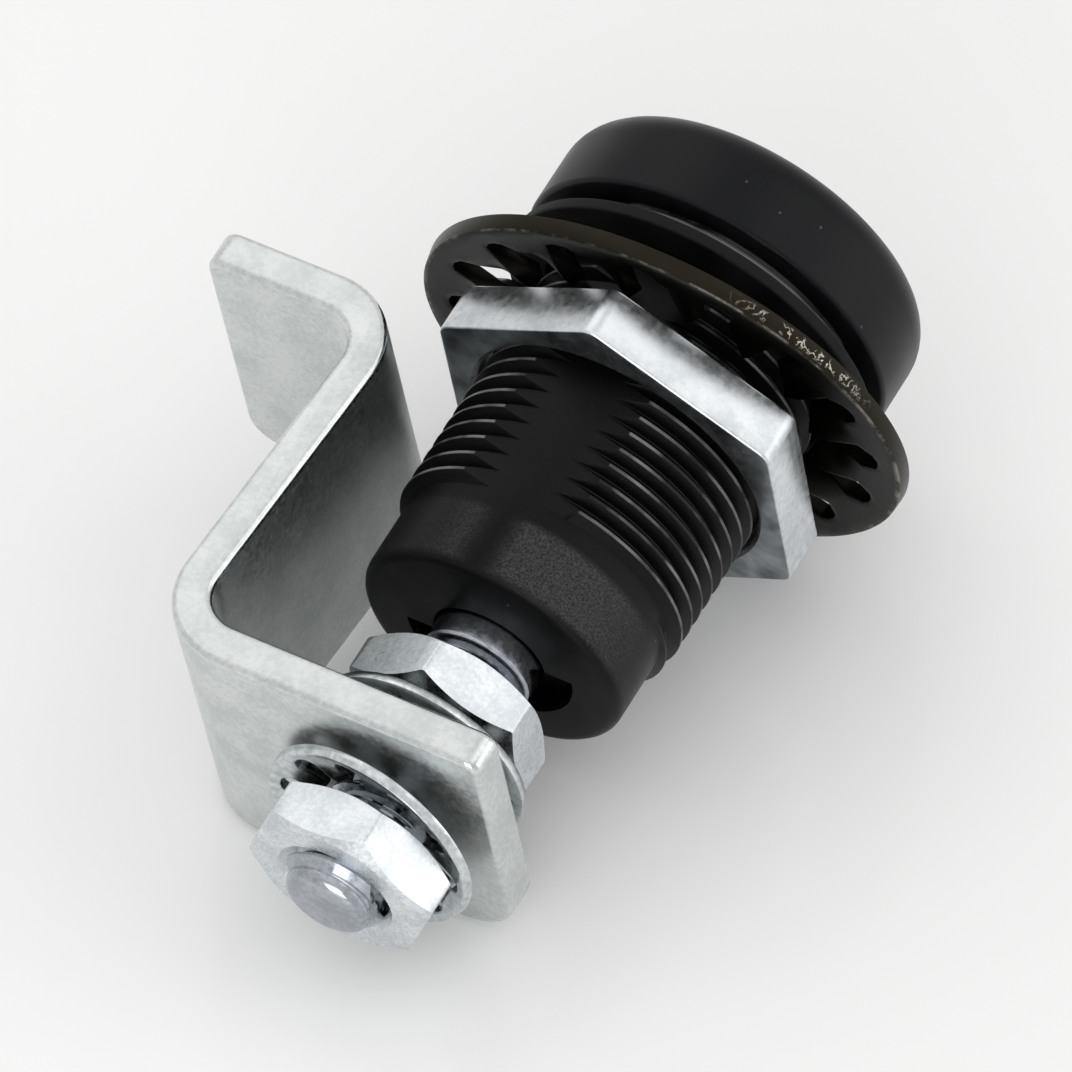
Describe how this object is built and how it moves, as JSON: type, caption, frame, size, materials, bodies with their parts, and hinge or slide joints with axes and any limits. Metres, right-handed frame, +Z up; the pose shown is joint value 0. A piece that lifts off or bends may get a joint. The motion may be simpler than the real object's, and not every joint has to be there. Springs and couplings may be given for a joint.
{
  "type": "cam latch",
  "caption": "Quarter-turn compression cam latch for a panel: hexagon-key driver, threaded housing with nut and tooth washer, and a cranked cam that swings and draws in.",
  "frame": {"origin": "centre of the panel's hole, on the outer face of the panel that the gasket seals on", "axes": "+Y along the latch's axis into the enclosure, +X the way the cam reaches when it is latched, +Z up"},
  "size_m": [0.048, 0.0613, 0.037],
  "materials": {
    "nylon": "moulded glass-filled nylon",
    "cap_lacquer": "satin black lacquer",
    "rubber": "smooth moulded",
    "black_oxide_steel": "black oxide, scuffed bright at the rim",
    "zinc_plated_steel": "bright zinc plate over a pebbled surface",
    "black_zinc": "black zinc plate",
    "spring_steel": "drawn, oiled"
  },
  "bodies": {
    "housing_body": {"housing": "nylon", "head_cap": "cap_lacquer", "cap_snap_ring": "spring_steel", "cap_seal": "rubber", "panel_gasket": "rubber", "panel_lock_washer": "black_oxide_steel", "panel_nut": "zinc_plated_steel"},
    "guide_body": {"guide_sleeve": "nylon"},
    "driver_body": {"driver": "black_zinc", "driver_o_ring": "rubber", "thrust_washer": "spring_steel", "compression_spring": "spring_steel", "spring_seat": "spring_steel"},
    "shaft_body": {"shaft": "zinc_plated_steel", "cross_pin": "spring_steel", "inner_jam_nut": "zinc_plated_steel", "inner_lock_washer": "zinc_plated_steel", "cam": "zinc_plated_steel", "outer_lock_washer": "zinc_plated_steel", "outer_jam_nut": "zinc_plated_steel"}
  },
  "joints": [
    {"name": "cam_swing", "type": "hinge", "parent": "housing_body", "child": "guide_body", "pos_m": [0, 0, 0], "axis": [0, 1, 0], "range_deg": [-90, 0]},
    {"name": "draw_turn", "type": "hinge", "parent": "guide_body", "child": "driver_body", "pos_m": [0, 0, 0], "axis": [0, 1, 0], "range_deg": [-90, 0]},
    {"name": "cam_draw", "type": "slide", "parent": "guide_body", "child": "shaft_body", "axis": [0, 1, 0], "range_m": [0, 0.005]}
  ],
  "couplings": [
    {"joint": "draw_turn", "follows": "cam_draw", "rad_per_m": -314.16}
  ]
}
